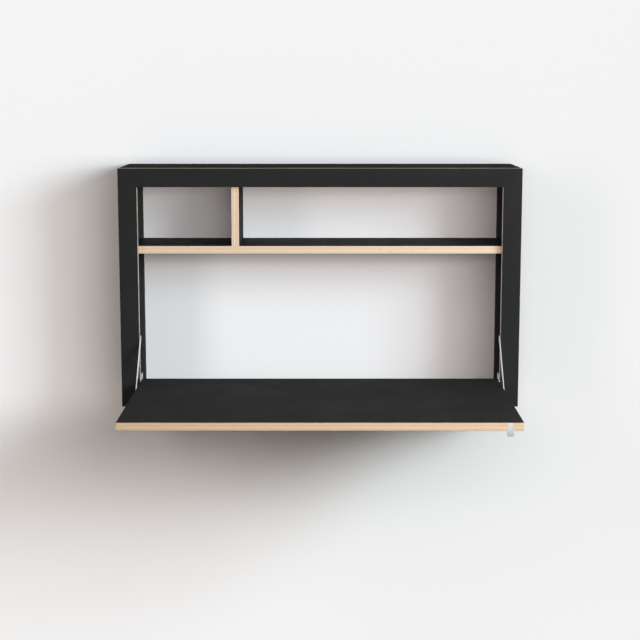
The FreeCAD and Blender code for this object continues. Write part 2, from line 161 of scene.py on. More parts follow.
class BoardLooks(PropertyGroup):
    """Sizes and colours of the laminated birch boards."""

    laminate_colour: colour_setting(
        "Laminate", "Colour of the matt black faces", (0.0190, 0.0190, 0.0192))
    # Painted light: the battens' black is lighter than the laminate, standing in for bounce light inside
    # the bays.
    batten_black_with_painted_bounce: colour_setting(
        "Batten", "Colour of the black stained battens at the wall", (0.040, 0.037, 0.034))
    handled_tone: FloatProperty(
        name="Handled tone",
        description="How much paler a black face is where hands have dulled it", min=1.0,
        default=1.19)
    laminate_rubbed: colour_setting(
        "Rubbed laminate", "Colour where the black is rubbed along a board's edges",
        (0.095, 0.088, 0.080))
    rubbed_reach: length_setting(
        "Rubbed reach", "How far in from its edges a board is rubbed", 1.2 * MM)
    laminate_thickness: length_setting(
        "Laminate thickness", "Thickness of the black sheet on the frame and the flap", 0.6 * MM)
    film_thickness: length_setting(
        "Film thickness", "Thickness of the black film on the boards inside", 0.1 * MM)
    birch_long: colour_setting(
        "Long grain", "Colour of the plies that run along the edge", (0.886, 0.763, 0.627))
    birch_end: colour_setting("End grain", "Colour of the plies cut across", (0.731, 0.562, 0.407))
    birch_glue: colour_setting(
        "Glue line", "Colour of the thin lines between plies", (0.433, 0.292, 0.182))
    # Painted shade: the flap's birch is darkened and tinted to offset the stronger light it gets nearer
    # the lamps.
    flap_painted_shade: colour_setting(
        "Flap painted shade", "How the flap's birch is toned beside that of the other boards",
        (0.796, 0.750, 0.689))
    # Painted shade: the black of the flap and the shelf is darkened, because their upward faces get more
    # light than the upright boards.
    level_painted_shade: share_setting(
        "Level painted shade", "How light the black of the flap and the shelf is beside that of the others",
        0.85)
    sheen: share_setting("Sheen", "How strongly the black faces shine", 0.045)
    top_sheen: share_setting("Top sheen", "How strongly the duller top of the case shines", 0.004)
    plies: IntProperty(
        name="Plies", description="How many layers of birch are between the laminates", min=3,
        default=11)
    softness: length_setting("Edge softness", "How far a sanded edge is rounded", 0.2 * MM)


class MetalLooks(PropertyGroup):
    """Sizes and colours of the fittings."""

    steel: colour_setting("Steel", "Colour of the bright steel", (0.90, 0.895, 0.885))
    hinge: colour_setting("Hinge plate", "Colour of the duller hinge plates", (0.60, 0.595, 0.59))
    tab: colour_setting("Pull tab", "Colour of the satin pull tab", (0.46, 0.46, 0.465))
    tab_edge: length_setting("Tab edge", "How far the pull tab's edges are rounded", 0.9 * MM)
    tab_curl: length_setting("Tab curl", "How far the pull tab's lip curls back", 1.2 * MM)
    # Painted shade: the screws' recesses are darkened where shade would fall.
    recess: colour_setting(
        "Recess", "Colour of the dirt in the screws' recesses", (0.07, 0.065, 0.06))
    aluminium: colour_setting("Aluminium", "Colour of the satin tracks", (0.66, 0.66, 0.665))
    brass: colour_setting("Brass", "Colour of the hinge bushes", (0.72, 0.52, 0.24))
    nickel: colour_setting("Nickel", "Colour of the plated magnet", (0.68, 0.66, 0.63))
    slide: colour_setting("Slide", "Colour of the slides in the tracks", (0.035, 0.035, 0.036))
    beech: colour_setting("Beech", "Colour of the dowels", (0.60, 0.38, 0.20))
    softness: length_setting("Edge softness", "How far a metal edge is broken", 0.25 * MM)
    screw_socket: length_setting(
        "Screw socket", "Width across the arms of a screw's cross recess", 2.6 * MM)
    screw_pitch: length_setting(
        "Screw pitch", "Distance from one thread to the next", 1.1 * MM, least=0.1 * MM)


class StageLooks(PropertyGroup):
    """The wall, the floor, the light and the camera."""

    wall: colour_setting("Wall", "Colour of the wall and the floor", (0.905, 0.905, 0.905))
    floor_drop: length_setting("Floor", "How far the floor lies under the open desk top", 0.75)
    fill_above: colour_setting(
        "Fill above", "Colour and strength of the soft light from above", (0.124, 0.115, 0.110),
        strongest=4.0)
    fill_below: colour_setting(
        "Fill below", "Colour and strength of the soft light from the floor", (0.140, 0.115, 0.080),
        strongest=4.0)
    wall_glow: colour_setting(
        "Wall glow", "Colour and strength of the soft light from the wall's side",
        (0.35, 0.343, 0.336), strongest=4.0)
    key_power: power_setting("Key power", "Power of the main light", 19.2)
    key_place: place_setting("Key place", "Where the main light stands", (0.611, -1.575, 0.061))
    key_size: extent_setting("Key size", "Width and height of the main light", (1.557, 0.397))
    key_colour: colour_setting("Key colour", "Colour of the main light", (1.0, 0.93, 0.91))
    side_power: power_setting("Side power", "Power of the light from the right", 34.0)
    side_place: place_setting(
        "Side place", "Where the light from the right stands", (1.732, -1.728, 0.604))
    side_size: extent_setting(
        "Side size", "Width and height of the light from the right", (1.061, 0.774))
    side_colour: colour_setting(
        "Side colour", "Colour of the light from the right", (0.75, 0.93, 1.0))
    left_power: power_setting("Left power", "Power of the weak light from the left", 9.0)
    left_place: place_setting(
        "Left place", "Where the weak light from the left stands", (-1.313, -1.567, 0.24))
    left_size: extent_setting(
        "Left size", "Width and height of the weak light from the left", (0.483, 1.557))
    left_colour: colour_setting(
        "Left colour", "Colour of the weak light from the left", (1.0, 0.898, 0.876))
    lens: FloatProperty(
        name="Lens", description="Focal length on a sensor 36 mm wide", unit="CAMERA", min=1.0,
        default=83.87)
    camera_back: length_setting(
        "Camera distance", "How far the camera stands from the wall", 3.1316, least=0.1)
    camera_height: FloatProperty(
        name="Camera height", description="Height of the camera over the wall screws",
        unit="LENGTH", default=0.1906)
    camera_tilt: FloatProperty(
        name="Camera tilt", description="How far the camera looks down", subtype="ANGLE",
        default=math.radians(8.92))


class NodeDesk:
    """A small bench for laying out the nodes of one tree."""

    COLUMN = 190

    def __init__(self, tree):
        self.tree = tree
        self.placed = 0

    def add(self, kind, values=None, **settings):
        """Adds a node, sets its properties, and sets or links its inputs by name or place."""
        node = self.tree.nodes.new(kind)
        node.location = (self.placed * self.COLUMN, 0)
        self.placed += 1
        for name, value in settings.items():
            setattr(node, name, value)
        for key, value in (values or {}).items():
            self.feed(node.inputs[key], value)
        return node

    def feed(self, socket, value):
        """Links a socket to another, or gives it a value."""
        if isinstance(value, bpy.types.NodeSocket):
            self.tree.links.new(value, socket)
        else:
            socket.default_value = value

    def math(self, operation, first, second=0.0):
        """One sum on plain numbers."""
        return self.add("ShaderNodeMath", {0: first, 1: second}, operation=operation).outputs[0]

    def vectors(self, operation, first, second=(0.0, 0.0, 0.0)):
        """One sum on vectors or colours."""
        return self.add("ShaderNodeVectorMath", {0: first, 1: second}, operation=operation).outputs[0]

    def dot(self, first, second):
        """The product of two directions."""
        node = self.add("ShaderNodeVectorMath", {0: first, 1: second}, operation="DOT_PRODUCT")
        return node.outputs["Value"]

    def group(self, tree, values):
        """A shared effect, with its inputs set or linked."""
        return self.add("ShaderNodeGroup", values, node_tree=tree).outputs

    def blend(self, share, first, second):
        """A mix of two colours."""
        node = self.add("ShaderNodeMix", data_type="RGBA")
        self.feed(node.inputs["Factor"], share)
        self.feed(node.inputs[6], first)
        self.feed(node.inputs[7], second)
        return node.outputs[2]

    def span(self, value, low, high, to_low=0.0, to_high=1.0):
        """A value carried from one range to another and held inside it."""
        node = self.add("ShaderNodeMapRange", {0: value, 1: low, 2: high, 3: to_low, 4: to_high})
        return node.outputs[0]

    def noise(self, vector, scale, detail=2.0, roughness=0.5):
        """Soft random values from 0 to 1."""
        node = self.add("ShaderNodeTexNoise", {"Vector": vector, "Scale": scale, "Detail": detail,
                                               "Roughness": roughness})
        return node.outputs[0]

    def stretched(self, vector, scale):
        """Coordinates scaled by a different amount along each axis."""
        return self.add("ShaderNodeMapping", {"Vector": vector, "Scale": scale}).outputs[0]


def rgba(colour):
    """A colour property as a shader socket takes it."""
    return (colour[0], colour[1], colour[2], 1.0)


def shader_group(name, inputs, outputs):
    """An empty shader group: its bench, its input node and its output node."""
    group = bpy.data.node_groups.new(name, "ShaderNodeTree")
    for label, kind in inputs:
        group.interface.new_socket(label, in_out="INPUT", socket_type=kind)
    for label, kind in outputs:
        group.interface.new_socket(label, in_out="OUTPUT", socket_type=kind)
    desk = NodeDesk(group)
    return desk, desk.add("NodeGroupInput"), desk.add("NodeGroupOutput")


def birch_group():
    """Plies of birch on an edge: long grain and end grain by turns, with glue lines and voids."""
    name = "Birch plies"
    if name in bpy.data.node_groups:
        return bpy.data.node_groups[name]
    desk, given, out = shader_group(
        name,
        [("Vector", "NodeSocketVector"), ("Core", "NodeSocketFloat"), ("Plies", "NodeSocketFloat"),
         ("Long grain", "NodeSocketColor"), ("End grain", "NodeSocketColor"),
         ("Glue line", "NodeSocketColor"), ("Tint", "NodeSocketColor")],
        [("Colour", "NodeSocketColor"), ("Height", "NodeSocketFloat")])
    vector = given.outputs["Vector"]
    long_plain, end_plain = given.outputs["Long grain"], given.outputs["End grain"]
    glue_colour = given.outputs["Glue line"]
    waver = desk.math("MULTIPLY", desk.noise(vector, 9.0), 0.5 * MM)
    through = desk.add("ShaderNodeSeparateXYZ", {0: vector}).outputs[2]
    share = desk.math("DIVIDE", desk.math("ADD", through, waver), given.outputs["Core"])
    ply = desk.math("MULTIPLY", desk.math("ADD", share, 0.5), given.outputs["Plies"])
    within = desk.math("FRACT", ply)
    is_end = desk.math("GREATER_THAN", desk.math("FRACT", desk.math("MULTIPLY", ply, 0.5)), 0.5)
    ply_number = desk.math("FLOOR", ply)
    ply_tone = desk.add("ShaderNodeTexWhiteNoise", {"W": ply_number}, noise_dimensions="1D").outputs[0]
    glue_near = desk.math("ABSOLUTE", desk.math("SUBTRACT", within, 0.5))
    glue = desk.span(glue_near, 0.43, 0.5)

    streaks = desk.noise(desk.stretched(vector, (16.0, 16.0, 900.0)), 1.0, 4.0, 0.6)
    tone = desk.noise(desk.stretched(vector, (7.0, 7.0, 420.0)), 1.0, 2.0)
    pores = desk.noise(vector, 2600.0, 2.0, 0.7)
    long_dark = desk.blend(0.22, long_plain, glue_colour)
    long_grain = desk.blend(desk.span(streaks, 0.35, 0.75), long_plain, long_dark)
    end_dark = desk.blend(0.45, end_plain, glue_colour)
    end_grain = desk.blend(desk.span(pores, 0.45, 0.68), end_plain, end_dark)
    layers = desk.blend(is_end, long_grain, end_grain)
    varied = desk.blend(desk.math("MULTIPLY", ply_tone, 0.6), layers, end_dark)
    shaded = desk.blend(desk.span(tone, 0.3, 0.8, 0.0, 0.28), varied, end_plain)
    lined = desk.blend(desk.math("MULTIPLY", glue, 0.6), shaded, glue_colour)
    gap_noise = desk.noise(desk.stretched(vector, (46.0, 46.0, 700.0)), 1.0, 1.0)
    voids = desk.math("MULTIPLY", desk.span(gap_noise, 0.71, 0.75), is_end)
    holed = desk.blend(desk.math("MULTIPLY", voids, 0.8), lined, glue_colour)
    # The birch is multiplied by the board's painted shade.
    desk.feed(out.inputs["Colour"], desk.vectors("MULTIPLY", holed, given.outputs["Tint"]))
    rough = desk.math("ADD", desk.math("MULTIPLY", pores, 0.3), desk.math("MULTIPLY", streaks, 0.3))
    desk.feed(out.inputs["Height"], desk.math("SUBTRACT", rough, desk.math("ADD", voids, glue)))
    return bpy.data.node_groups[name]


def laminate_group():
    """A matt laminate: a fine even grain, with broad faint marks where hands have been."""
    name = "Laminate skin"
    if name in bpy.data.node_groups:
        return bpy.data.node_groups[name]
    desk, given, out = shader_group(
        name,
        [("Vector", "NodeSocketVector"), ("Clean", "NodeSocketColor"), ("Handled", "NodeSocketColor")],
        [("Colour", "NodeSocketColor"), ("Roughness", "NodeSocketFloat"), ("Height", "NodeSocketFloat")])
    vector = given.outputs["Vector"]
    grain = desk.noise(vector, 1500.0, 3.0, 0.65)
    marks = desk.span(desk.noise(vector, 6.5, 4.0, 0.6), 0.45, 0.75)
    speckle = desk.span(grain, 0.4, 0.7, 0.0, 0.5)
    mixed = desk.math("MAXIMUM", desk.math("MULTIPLY", marks, 0.8), speckle)
    desk.feed(out.inputs["Colour"], desk.blend(mixed, given.outputs["Clean"], given.outputs["Handled"]))
    desk.feed(out.inputs["Roughness"], desk.math("SUBTRACT", 0.74, desk.math("MULTIPLY", marks, 0.10)))
    desk.feed(out.inputs["Height"], grain)
    return bpy.data.node_groups[name]


def rubbed_group():
    """Where the outline of a flat board has been rubbed: broken lines along its edges, as a mask."""
    name = "Rubbed edges"
    if name in bpy.data.node_groups:
        return bpy.data.node_groups[name]
    desk, given, out = shader_group(
        name,
        [("Vector", "NodeSocketVector"), ("Half size", "NodeSocketVector"), ("Reach", "NodeSocketFloat")],
        [("Mask", "NodeSocketFloat")])
    vector = given.outputs["Vector"]
    inside = desk.vectors("SUBTRACT", given.outputs["Half size"], desk.vectors("ABSOLUTE", vector))
    edges = desk.add("ShaderNodeSeparateXYZ", {0: inside}).outputs
    near = desk.span(desk.math("MINIMUM", edges[0], edges[1]), 0.0, given.outputs["Reach"], 1.0, 0.0)
    patches = desk.span(desk.noise(vector, 28.0, 5.0, 0.65), 0.48, 0.68)
    desk.feed(out.inputs["Mask"], desk.math("MULTIPLY", near, patches))
    return bpy.data.node_groups[name]


def brushed_group():
    """Fine scratches along one direction, with a slow change of tone."""
    name = "Brushed metal"
    if name in bpy.data.node_groups:
        return bpy.data.node_groups[name]
    desk, given, out = shader_group(
        name,
        [("Vector", "NodeSocketVector"), ("Metal", "NodeSocketColor"), ("Smooth", "NodeSocketFloat")],
        [("Colour", "NodeSocketColor"), ("Roughness", "NodeSocketFloat"), ("Height", "NodeSocketFloat")])
    vector = given.outputs["Vector"]
    scratches = desk.noise(desk.stretched(vector, (2600.0, 2600.0, 60.0)), 1.0, 3.0, 0.7)
    tone = desk.noise(vector, 35.0, 3.0)
    dull = desk.blend(0.35, given.outputs["Metal"], (0.30, 0.30, 0.31, 1.0))
    worn = desk.math("MULTIPLY", desk.span(tone, 0.45, 0.8), 0.5)
    share = desk.math("ADD", worn, desk.math("MULTIPLY", desk.span(scratches, 0.5, 0.8), 0.35))
    desk.feed(out.inputs["Colour"], desk.blend(share, given.outputs["Metal"], dull))
    scratched = desk.math("MULTIPLY", scratches, 0.22)
    desk.feed(out.inputs["Roughness"], desk.math("ADD", given.outputs["Smooth"], scratched))
    desk.feed(out.inputs["Height"], scratches)
    return bpy.data.node_groups[name]


def new_material(name):
    """A material with its surface shader, its bench and Object coordinates."""
    material = bpy.data.materials.new(name)
    material.use_nodes = True
    material.node_tree.nodes.clear()
    desk = NodeDesk(material.node_tree)
    shader = desk.add("ShaderNodeBsdfPrincipled")
    output = desk.add("ShaderNodeOutputMaterial")
    desk.feed(output.inputs["Surface"], shader.outputs[0])
    place = desk.add("ShaderNodeTexCoord").outputs["Object"]
    return material, desk, shader, place


def bump(desk, shader, height, distance, strength):
    """Raises a surface by a height, in metres at full strength."""
    node = desk.add("ShaderNodeBump", {"Height": height, "Distance": distance, "Strength": strength})
    desk.feed(shader.inputs["Normal"], node.outputs[0])


def black_skin(desk, place, colour):
    """A black face with its marks of handling, placed in a material."""
    handled = [channel * bpy.context.scene.desk_boards.handled_tone for channel in colour]
    return desk.group(laminate_group(),
                      {"Vector": place, "Clean": rgba(colour), "Handled": rgba(handled)})


def board_material(node, skin_thickness, sheen, birch_painted_shade, black_painted_shade):
    """Black laminate on both faces of a board and birch plies between them, told apart by depth."""
    looks = bpy.context.scene.desk_boards
    low, high = (Vector(corner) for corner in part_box(node))
    axis = THROUGH[node]
    turn = Euler(LAYERS_TO_Z[axis])
    middle = (low + high) / 2
    middle.rotate(turn)
    half = (high - low) / 2
    half.rotate(turn)
    half = Vector(abs(length) for length in half)
    core = 2 * (half.z - skin_thickness)
    material, desk, shader, place = new_material("laminated_birch_" + node)
    laid = {"Vector": place, "Rotation": turn, "Location": -middle}
    layers = desk.add("ShaderNodeMapping", laid).outputs[0]
    birch = desk.group(birch_group(), {
        "Vector": layers, "Core": core, "Plies": float(looks.plies), "Long grain": rgba(looks.birch_long),
        "End grain": rgba(looks.birch_end), "Glue line": rgba(looks.birch_glue), "Tint": rgba(birch_painted_shade)})
    # The black is multiplied by the board's painted shade.
    skin = black_skin(desk, layers, Vector(looks.laminate_colour) * black_painted_shade)
    rubbed = desk.group(rubbed_group(), {"Vector": layers, "Half size": half, "Reach": looks.rubbed_reach})
    worn = desk.blend(rubbed["Mask"], skin["Colour"], rgba(looks.laminate_rubbed))
    depth = desk.math("ABSOLUTE", desk.add("ShaderNodeSeparateXYZ", {0: layers}).outputs[2])
    black = desk.math("GREATER_THAN", depth, core / 2)
    desk.feed(shader.inputs["Base Color"], desk.blend(black, birch["Colour"], worn))
    wood_rough = desk.math("MULTIPLY", desk.math("SUBTRACT", 1.0, black), 0.66)
    desk.feed(shader.inputs["Roughness"],
              desk.math("ADD", wood_rough, desk.math("MULTIPLY", black, skin["Roughness"])))
    shader.inputs["Specular IOR Level"].default_value = sheen
    wood_height = desk.math("MULTIPLY", birch["Height"], desk.math("SUBTRACT", 1.0, black))
    skin_height = desk.math("MULTIPLY", skin["Height"], desk.math("MULTIPLY", black, 0.35))
    bump(desk, shader, desk.math("ADD", wood_height, skin_height), 0.12 * MM, 0.5)
    return material


def black_strip_material():
    """The battens' finish, which is black on their edges too, and lighter than the laminate as painted
    bounce light.
    """
    looks = bpy.context.scene.desk_boards
    material, desk, shader, place = new_material("black_strip")
    skin = black_skin(desk, place, looks.batten_black_with_painted_bounce)
    desk.feed(shader.inputs["Base Color"], skin["Colour"])
    desk.feed(shader.inputs["Roughness"], skin["Roughness"])
    shader.inputs["Specular IOR Level"].default_value = looks.sheen
    bump(desk, shader, skin["Height"], 0.04 * MM, 0.5)
    return material


def metal_material(name, colour, smooth, turn=(0.0, 0.0, 0.0), recess_shade=None):
    """A brushed metal, scratched along Z turned by the given angles, with painted shade in its recesses.
    """
    found = bpy.data.materials.get(name)
    if found:
        return found
    material, desk, shader, place = new_material(name)
    along = desk.add("ShaderNodeMapping", {"Vector": place, "Rotation": turn}).outputs[0]
    brushed = desk.group(brushed_group(), {"Vector": along, "Metal": rgba(colour), "Smooth": smooth})
    shown = brushed["Colour"]
    # Painted shade: the marked recess is darkened.
    if recess_shade:
        recess_shade_mask = desk.add("ShaderNodeAttribute", attribute_name=RECESS_MARK).outputs["Fac"]
        shown = desk.blend(recess_shade_mask, shown, rgba(recess_shade))
    desk.feed(shader.inputs["Base Color"], shown)
    desk.feed(shader.inputs["Roughness"], brushed["Roughness"])
    shader.inputs["Metallic"].default_value = 1.0
    bump(desk, shader, brushed["Height"], 0.01 * MM, 0.2)
    return material


def slide_material():
    """A moulded slide with a fine matt grain."""
    material, desk, shader, place = new_material("moulded_slide")
    colour = rgba(bpy.context.scene.desk_metals.slide)
    dust = (0.10, 0.10, 0.10, 1.0)
    grain = desk.noise(place, 2200.0, 3.0, 0.6)
    desk.feed(shader.inputs["Base Color"], desk.blend(desk.math("MULTIPLY", grain, 0.3), colour, dust))
    desk.feed(shader.inputs["Roughness"], desk.span(grain, 0.2, 0.8, 0.42, 0.58))
    bump(desk, shader, grain, 0.04 * MM, 0.4)
    return material


def dowel_material():
    """Turned beech with short dark flecks."""
    material, desk, shader, place = new_material("turned_beech")
    colour = bpy.context.scene.desk_metals.beech
    dark = tuple(channel * 0.6 for channel in colour)
    flecks = desk.noise(place, 900.0, 3.0, 0.6)
    flecked = desk.blend(desk.span(flecks, 0.5, 0.7), rgba(colour), rgba(dark))
    desk.feed(shader.inputs["Base Color"], flecked)
    desk.feed(shader.inputs["Roughness"], desk.span(flecks, 0.2, 0.8, 0.55, 0.7))
    bump(desk, shader, flecks, 0.05 * MM, 0.4)
    return material


def steel_material(turn_name="upright", turn=(0.0, 0.0, 0.0)):
    """Bright brushed steel."""
    steel = bpy.context.scene.desk_metals.steel
    return metal_material("bright_steel_" + turn_name, steel, STEEL_ROUGH, turn)


def screw_material():
    """Bright steel with painted shade in the cross recesses."""
    metals = bpy.context.scene.desk_metals
    return metal_material("screw_steel", metals.steel, STEEL_ROUGH, recess_shade=metals.recess)


def set_material(obj, material):
    """Makes a material the only one on an object."""
    obj.data.materials.clear()
    obj.data.materials.append(material)


def finish_node(node, material):
    """Gives a node's own solid a finish and leaves its shape alone."""
    slots = frame["nodes"][node].material_slots
    if not slots:
        raise RuntimeError("no material slot on " + node)
    for slot in slots:
        slot.material = material


def body_of_node(node):
    """The body that carries a node."""
    for body, nodes in frame["record"]["behaviour"]["bodies"].items():
        if node in nodes:
            return body
    raise RuntimeError("no body carries " + node)


def stand_for(piece, node):
    """Puts a finished piece in the place of its node, on the same body."""
    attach(piece, body_of_node(node))
    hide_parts(node)


def softened(node, width, material, segments=2):
    """A copy of a node's solid with its square edges rounded over, in the node's place."""
    shape = bmesh.new()
    shape.from_mesh(frame["nodes"][node].data)
    bmesh.ops.remove_doubles(shape, verts=shape.verts, dist=WELD)
    bmesh.ops.dissolve_limit(shape, angle_limit=FLAT_ANGLE, verts=shape.verts, edges=shape.edges)
    edges = [edge for edge in shape.edges
             if edge.is_manifold and edge.calc_face_angle(0.0) > SHARP_ANGLE and edge.is_convex]
    if edges:
        bmesh.ops.bevel(shape, geom=edges, offset=width, segments=segments, profile=0.5, affect="EDGES",
                        clamp_overlap=True)
        bmesh.ops.remove_doubles(shape, verts=shape.verts, dist=WELD)
    mesh = bpy.data.meshes.new(node + "_finished")
    shape.to_mesh(mesh)
    shape.free()
    mesh.shade_smooth()
    mesh.set_sharp_from_angle(angle=SMOOTH_ANGLE)
    piece = bpy.data.objects.new(node + "_finished", mesh)
    bpy.context.scene.collection.objects.link(piece)
    set_material(piece, material)
    stand_for(piece, node)
    return piece


def curl_lip(piece, start_z, reach):
    """Bends what hangs below a height back towards the wall, further and further down to its foot."""
    shape = bmesh.new()
    shape.from_mesh(piece.data)
    foot_z = min(vert.co.z for vert in shape.verts)
    for step in range(CURL_STEPS):
        height = start_z + (foot_z - start_z) * step / CURL_STEPS
        everything = [*shape.verts, *shape.edges, *shape.faces]
        bmesh.ops.bisect_plane(shape, geom=everything, plane_co=(0.0, 0.0, height),
                               plane_no=(0.0, 0.0, 1.0))
    for vert in shape.verts:
        hang = max(0.0, (start_z - vert.co.z) / (start_z - foot_z))
        vert.co.y += reach * hang ** 2
    shape.to_mesh(piece.data)
    shape.free()


def dress_boards(nodes, skin_thickness, sheen, birch_painted_shade=(1.0, 1.0, 1.0), black_painted_shade=1.0):
    """Gives boards their sanded edges and layered finish."""
    for node in nodes:
        material = board_material(node, skin_thickness, sheen, birch_painted_shade, black_painted_shade)
        softened(node, bpy.context.scene.desk_boards.softness, material)


def dress_metal(nodes, material):
    """Gives metal pieces their broken edges and finish."""
    for node in nodes:
        softened(node, bpy.context.scene.desk_metals.softness, material)


def both(name):
    """A paired piece's two node names."""
    return [name + "_" + side for side in SIDES]


def screw_mesh(radius, head_radius, length):
    """A countersunk wood screw along -Z from its head at the origin, with threads and a recess."""
    looks = bpy.context.scene.desk_metals
    sink = head_radius - radius
    rim = 0.12 * MM
    tip = 2.4 * radius
    core = 0.72 * radius
    neck_z = -rim - sink - radius
    profile = [(head_radius - rim, 0.0), (head_radius, -rim), (radius, -rim - sink), (core, neck_z)]
    threads = int((length - tip + neck_z) / looks.screw_pitch)
    for turn in range(threads):
        top = neck_z - turn * looks.screw_pitch
        profile.append((radius, top - 0.35 * looks.screw_pitch))
        profile.append((core, top - 0.70 * looks.screw_pitch))
    profile.append((core, tip - length))
    shape = bmesh.new()
    recess_shade_mask = shape.verts.layers.float.new(RECESS_MARK)
    rings = []
    for across, height in profile:
        ring = []
        for step in range(SCREW_SIDES):
            angle = 2 * math.pi * step / SCREW_SIDES
            ring.append(shape.verts.new((across * math.cos(angle), across * math.sin(angle), height)))
        rings.append(ring)
    point = shape.verts.new((0.0, 0.0, -length))
    for step in range(SCREW_SIDES):
        after = (step + 1) % SCREW_SIDES
        for upper, lower in zip(rings, rings[1:]):
            shape.faces.new((upper[step], lower[step], lower[after], upper[after]))
        shape.faces.new((rings[-1][step], point, rings[-1][after]))
    # The recess's deep corners are marked for painted shade.
    for vert in cross_recess(shape, rings[0], looks.screw_socket / 2, sink):
        vert[recess_shade_mask] = 1.0
    bmesh.ops.recalc_face_normals(shape, faces=shape.faces)
    mesh = bpy.data.meshes.new("countersunk_screw")
    shape.to_mesh(mesh)
    shape.free()
    return mesh


def cross_recess(shape, rim, reach, depth):
    """Closes a screw's head with a cross recess that tapers to a point, and gives its deep corners, which
    get painted shade.
    """
    steps = len(rim)
    arm = steps // 4
    mouth = []
    for step, vert in enumerate(rim):
        near_arm = min(step % arm, arm - step % arm) / (arm / 2)
        share = reach * (1.0 - 0.62 * min(1.0, 1.7 * near_arm))
        mouth.append(shape.verts.new(Vector((vert.co.x, vert.co.y, 0.0)).normalized() * share))
    foot = shape.verts.new((0.0, 0.0, -depth * 1.3))
    walls = [shape.verts.new(Vector((v.co.x * 0.55, v.co.y * 0.55, -depth * 0.8))) for v in mouth]
    for step in range(steps):
        after = (step + 1) % steps
        shape.faces.new((rim[after], rim[step], mouth[step], mouth[after]))
        shape.faces.new((mouth[after], mouth[step], walls[step], walls[after]))
        shape.faces.new((walls[after], walls[step], foot))
    return walls + [foot]


def screw_row_tree():
    """Geometry nodes that set screws in a straight row, turned to one direction."""
    name = "Screw row"
    if name in bpy.data.node_groups:
        return bpy.data.node_groups[name]
    tree = bpy.data.node_groups.new(name, "GeometryNodeTree")
    for label, kind in (("Screw", "NodeSocketObject"), ("Count", "NodeSocketInt"),
                        ("First", "NodeSocketVector"), ("Step", "NodeSocketVector"),
                        ("Turn", "NodeSocketVector"), ("Finish", "NodeSocketMaterial")):
        tree.interface.new_socket(label, in_out="INPUT", socket_type=kind)
    tree.interface.new_socket("Geometry", in_out="OUTPUT", socket_type="NodeSocketGeometry")
    desk = NodeDesk(tree)
    given = desk.add("NodeGroupInput").outputs
    row = desk.add("GeometryNodeMeshLine", {"Count": given["Count"], "Start Location": given["First"],
                                            "Offset": given["Step"]})
    screw = desk.add("GeometryNodeObjectInfo", {"Object": given["Screw"]})
    turned = desk.add("FunctionNodeEulerToRotation", {0: given["Turn"]})
    placed = desk.add("GeometryNodeInstanceOnPoints", {
        "Points": row.outputs[0], "Instance": screw.outputs["Geometry"], "Rotation": turned.outputs[0]})
    real = desk.add("GeometryNodeRealizeInstances", {0: placed.outputs[0]})
    dressed = desk.add("GeometryNodeSetMaterial",
                       {"Geometry": real.outputs[0], "Material": given["Finish"]})
    desk.add("NodeGroupOutput", {0: dressed.outputs[0]})
    return tree


def screw_row(template, count, first, step, turn):
    """The plain mesh of one row of screws."""
    tree = screw_row_tree()
    holder = bpy.data.objects.new("screw_row", bpy.data.meshes.new("screw_row"))
    bpy.context.scene.collection.objects.link(holder)
    modifier = holder.modifiers.new("Screw row", "NODES")
    modifier.node_group = tree
    values = {"Screw": template, "Count": count, "First": first, "Step": step, "Turn": turn,
              "Finish": screw_material()}
    for item in tree.interface.items_tree:
        if item.in_out == "INPUT":
            modifier[item.identifier] = values[item.name]
    holder.update_tag()
    evaluated = holder.evaluated_get(bpy.context.evaluated_depsgraph_get())
    mesh = bpy.data.meshes.new_from_object(evaluated)
    bpy.data.objects.remove(holder)
    if len(mesh.polygons) < count:
        raise RuntimeError("a row of screws came out empty")
    return mesh


def screw_piece(name, meshes, node):
    """One finished piece from rows of screws, in place of its node."""
    shape = bmesh.new()
    for mesh in meshes:
        shape.from_mesh(mesh)
    joined = bpy.data.meshes.new(name)
    shape.to_mesh(joined)
    shape.free()
    joined.shade_smooth()
    joined.set_sharp_from_angle(angle=SCREW_SMOOTH_ANGLE)
    piece = bpy.data.objects.new(name, joined)
    bpy.context.scene.collection.objects.link(piece)
    set_material(piece, screw_material())
    stand_for(piece, node)


class DESK_OT_front_frame(Operator):
    """Finish the ring panel in front"""

    bl_idname = "desk.front_frame"
    bl_label = "Front frame"

    def execute(self, context):
        looks = context.scene.desk_boards
        dress_boards(["front_frame"], looks.laminate_thickness, looks.sheen)
        return {"FINISHED"}


class DESK_OT_case(Operator):
    """Finish the top, the bottom and the two sides of the case"""

    bl_idname = "desk.case"
    bl_label = "Case boards"

    def execute(self, context):
        looks = context.scene.desk_boards
        dress_boards(["top_board"], looks.film_thickness, looks.top_sheen)
        dress_boards(["bottom_board"] + both("side_board"), looks.film_thickness, looks.sheen)
        return {"FINISHED"}


class DESK_OT_shelves(Operator):
    """Finish the shelf and its divider"""

    bl_idname = "desk.shelves"
    bl_label = "Shelf and divider"

    def execute(self, context):
        looks = context.scene.desk_boards
        # The shelf's black gets painted shade.
        dress_boards(["shelf"], looks.film_thickness, looks.sheen, black_painted_shade=looks.level_painted_shade)
        dress_boards(["divider"], looks.film_thickness, looks.sheen)
        return {"FINISHED"}


class DESK_OT_wall_strips(Operator):
    """Finish the hanging rail and the battens at the wall"""

    bl_idname = "desk.wall_strips"
    bl_label = "Hanging rail and battens"

    def execute(self, context):
        looks = context.scene.desk_boards
        dress_boards(["hanging_rail"], looks.film_thickness, looks.sheen)
        black = black_strip_material()
        for node in both("batten"):
            softened(node, looks.softness, black)
        return {"FINISHED"}


class DESK_OT_flap(Operator):
    """Finish the leaf that folds down as the desk top"""

    bl_idname = "desk.flap"
    bl_label = "Flap"

    def execute(self, context):
        looks = context.scene.desk_boards
        # The flap's birch and black both get painted shade.
        dress_boards(["flap"], looks.laminate_thickness, looks.sheen, looks.flap_painted_shade, looks.level_painted_shade)
        return {"FINISHED"}


